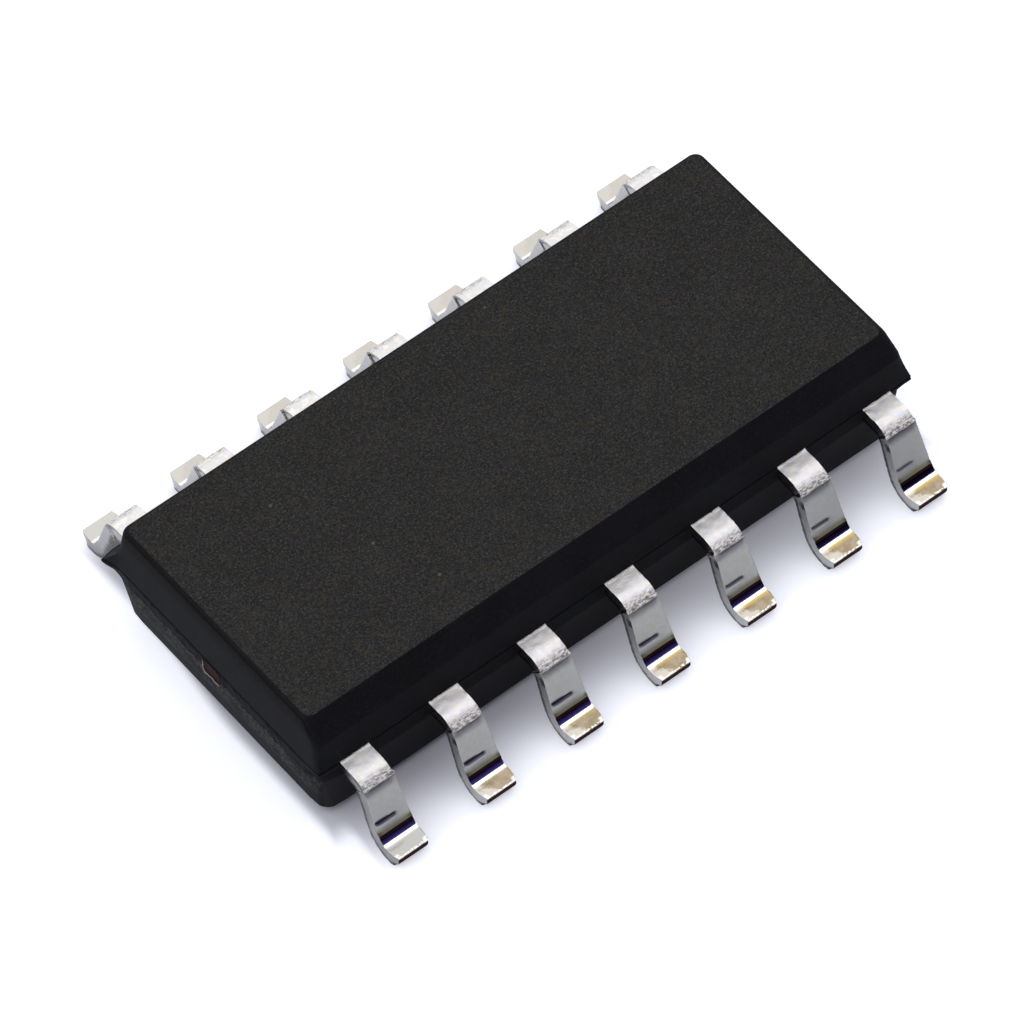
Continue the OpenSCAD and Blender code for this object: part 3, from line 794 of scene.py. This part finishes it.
def paddle(material):
    """The die paddle and its two tie bars, whose ends are torn off at the body's ends."""
    luck = random.Random(5)
    bm = bmesh.new()
    bmesh.ops.create_cube(bm, size=1)
    bmesh.ops.scale(bm, verts=bm.verts, vec=(*PADDLE, LEAD_THICKNESS))
    bmesh.ops.translate(bm, verts=bm.verts, vec=(0, 0, PADDLE_MIDDLE))
    for side in (-1, 1):
        bmesh.ops.bisect_plane(
            bm, geom=list(bm.verts) + list(bm.edges) + list(bm.faces), dist=1e-6,
            plane_co=(0, side * TIE_BAR_WIDTH / 2, 0), plane_no=(0, 1, 0),
        )
    burr = bm.verts.layers.float.new("burr")
    lean = math.tan(math.atan2(TIE_BAR_RISE, TIE_BAR_RAMP) / 2)
    straight = TIE_BAR_END - PADDLE[0] / 2 - TIE_BAR_FLAT - TIE_BAR_RAMP
    for side in (-1, 1):
        end = [f for f in bm.faces
               if f.normal.x * side > 0.9 and abs(f.calc_center_median().y) < TIE_BAR_WIDTH / 2]
        for way in ((TIE_BAR_FLAT, 0), (TIE_BAR_RAMP, TIE_BAR_RISE)):
            end, points = push_on(bm, end, (side * way[0], 0, way[1]))
            middle = sum(v.co.z for v in points) / len(points)
            for v in points:
                v.co.x -= side * lean * (v.co.z - middle)
        end, points = push_on(bm, end, (side * straight, 0, 0))
        for v in points:
            v.co.x = side * TIE_BAR_END
        bmesh.ops.subdivide_edges(bm, edges=list(end[0].edges), cuts=9, use_grid_fill=True)
        # Torn end, hollow between a burr along one side and one along the lower edge
        bottom = PADDLE_MIDDLE + TIE_BAR_RISE - LEAD_THICKNESS / 2
        for v in bm.verts:
            if v.co.x * side < TIE_BAR_END - 1e-5:
                continue
            rim = max(ramp(v.co.y, 0.125, 0.148), ramp(-v.co.z, -bottom - 0.022, -bottom - 0.002))
            rim *= ramp(-v.co.z, -bottom - 0.23, -bottom - 0.16)
            v[burr] = rim
            v.co.x += side * (rim * luck.uniform(0.008, 0.02) - (1 - rim) * luck.uniform(0.0, 0.012))
    return settle(bm, "paddle_and_tie_bars", material, "die_paddle")


def dress(name, material):
    node = NODES[name]
    node.data.materials.clear()
    node.data.materials.append(material)


mould_body(moulded_epoxy())
tin = tin_plating()
for number in range(1, 2 * LEADS_A_SIDE + 1):
    lead(number, tin)
paddle(frame_alloy())
dress("die_attach", die_adhesive())
dress("driver_die", silicon())
gold = wire_metal()
for number in range(1, 2 * LEADS_A_SIDE + 1):
    dress(f"bond_wire_{number}", gold)


# Where the floor's painted glow turns on, from none to full, in millimetres from the chip's middle
CLEAR_ENDS = (4.24, 4.42)
CLEAR_FRONT = (-2.0, -3.15)
CLEAR_BACK = (2.3, 3.3)
CLEAR_CORNER_X = (4.0, 4.2)
CLEAR_CORNER_Y = (-2.0, -2.4)


def pale_floor():
    """A pale floor with a painted glow that camera and glossy rays see, white away from the chip; the glow is
    left off between and under the leads, save a little that grows towards the right.
    """
    f = Finish("pale_floor")
    path = f.add("ShaderNodeLightPath").outputs
    seen = f.math("MAXIMUM", path["Is Camera Ray"], path["Is Glossy Ray"])
    off = f.math("ABSOLUTE", f.x)
    ahead = f.times(f.step(off, *CLEAR_CORNER_X), f.step(f.y, *CLEAR_CORNER_Y))
    further = f.math("MULTIPLY_ADD", f.step(f.y, -0.5, 1.8), 0.2, off)
    beside = f.math("MAXIMUM", f.step(further, *CLEAR_ENDS), ahead)
    before = f.step(f.y, *CLEAR_FRONT)
    behind = f.step(f.y, *CLEAR_BACK)
    clear = f.math("MAXIMUM", f.math("MAXIMUM", beside, before), behind)
    # Painted glow: a little near the chip, rising towards the right, and full away from it
    painted_glow = f.blend(clear, f.blend(f.step(f.x, -4.0, 2.0), 0.0, 0.10), 0.55)
    f.shader.inputs["Specular IOR Level"].default_value = 0.0
    f.shader.inputs["Emission Color"].default_value = (0.92, 0.95, 1.0, 1)
    f.feed(f.shader.inputs["Emission Strength"], f.times(painted_glow, seen))
    pale = f.mix(f.noise(6.0, 2.0), (0.73, 0.745, 0.78), (0.75, 0.765, 0.80))
    return f.finish(pale, 1.0)


def floor(material):
    bm = bmesh.new()
    bmesh.ops.create_grid(bm, x_segments=1, y_segments=1, size=2.0)
    mesh = bpy.data.meshes.new("floor")
    bm.to_mesh(mesh)
    bm.free()
    mesh.materials.append(material)
    piece = bpy.data.objects.new("floor", mesh)
    bpy.context.scene.collection.objects.link(piece)


def studio():
    """A long softbox overhead and a pale sky behind, with a dim front; the camera sees white."""
    world = bpy.data.worlds.new("studio")
    bpy.context.scene.world = world
    world.use_nodes = True
    tree = world.node_tree
    tree.nodes.clear()

    def add(kind, **values):
        made = tree.nodes.new(kind)
        for name, value in values.items():
            setattr(made, name, value)
        return made

    def step(value, start, end):
        made = add("ShaderNodeMapRange", interpolation_type="SMOOTHSTEP")
        tree.links.new(value, made.inputs["Value"])
        made.inputs["From Min"].default_value = start
        made.inputs["From Max"].default_value = end
        return made.outputs[0]

    def joined(operation, *values):
        made = values[0]
        for value in values[1:]:
            node = add("ShaderNodeMath", operation=operation)
            for socket, part in zip(node.inputs, (made, value)):
                if isinstance(part, bpy.types.NodeSocket):
                    tree.links.new(part, socket)
                else:
                    socket.default_value = part
            made = node.outputs[0]
        return made

    def background(colour, strength):
        made = add("ShaderNodeBackground")
        made.inputs["Color"].default_value = (*colour, 1)
        if isinstance(strength, bpy.types.NodeSocket):
            tree.links.new(strength, made.inputs["Strength"])
        else:
            made.inputs["Strength"].default_value = strength
        return made.outputs[0]

    def combined(kind, first, second, share=None):
        made = add(kind)
        if share is not None:
            tree.links.new(share, made.inputs[0])
        tree.links.new(first, made.inputs[-2])
        tree.links.new(second, made.inputs[-1])
        return made.outputs[0]

    # Directions from the chip: x to its right, y to its back, z up
    way = add("ShaderNodeSeparateXYZ")
    tree.links.new(add("ShaderNodeTexCoord").outputs["Generated"], way.inputs[0])
    x, y, z = way.outputs
    sky = joined("MULTIPLY", step(y, 0.17, 0.22), step(z, -0.02, 0.06), 1.2)
    over = joined("MULTIPLY", step(y, -0.52, -0.46), step(y, 0.22, 0.17), step(z, 0.0, 0.2))
    softbox = joined("MULTIPLY", over, step(x, -0.25, -0.05), step(x, 0.75, 0.6), 1.5)
    left = joined("MULTIPLY", over, step(x, -0.05, -0.25), 1.2)
    right = joined("MULTIPLY", over, step(x, 0.6, 0.75), 0.7)
    light = background((1.0, 0.995, 0.985), joined("ADD", sky, softbox, left, right))
    dim = background((0.26, 0.18, 1.0), 0.12)
    lit = combined("ShaderNodeAddShader", light, dim)
    seen = add("ShaderNodeLightPath").outputs["Is Camera Ray"]
    both = combined("ShaderNodeMixShader", lit, background((1, 1, 1), 1.0), seen)
    tree.links.new(both, add("ShaderNodeOutputWorld").inputs["Surface"])


def camera():
    lens = bpy.data.cameras.new("camera")
    lens.sensor_width = 36
    lens.lens = 339.97
    lens.clip_start = 0.005
    lens.clip_end = 10
    view = bpy.data.objects.new("camera", lens)
    view.location = (-36.5036 * MM, -54.7679 * MM, 90.9771 * MM)
    view.rotation_euler = [math.radians(a) for a in (35.8007, 3.1913, -38.071)]
    bpy.context.scene.collection.objects.link(view)
    bpy.context.scene.camera = view


floor(pale_floor())
studio()
camera()
bpy.context.scene.view_settings.view_transform = "Standard"
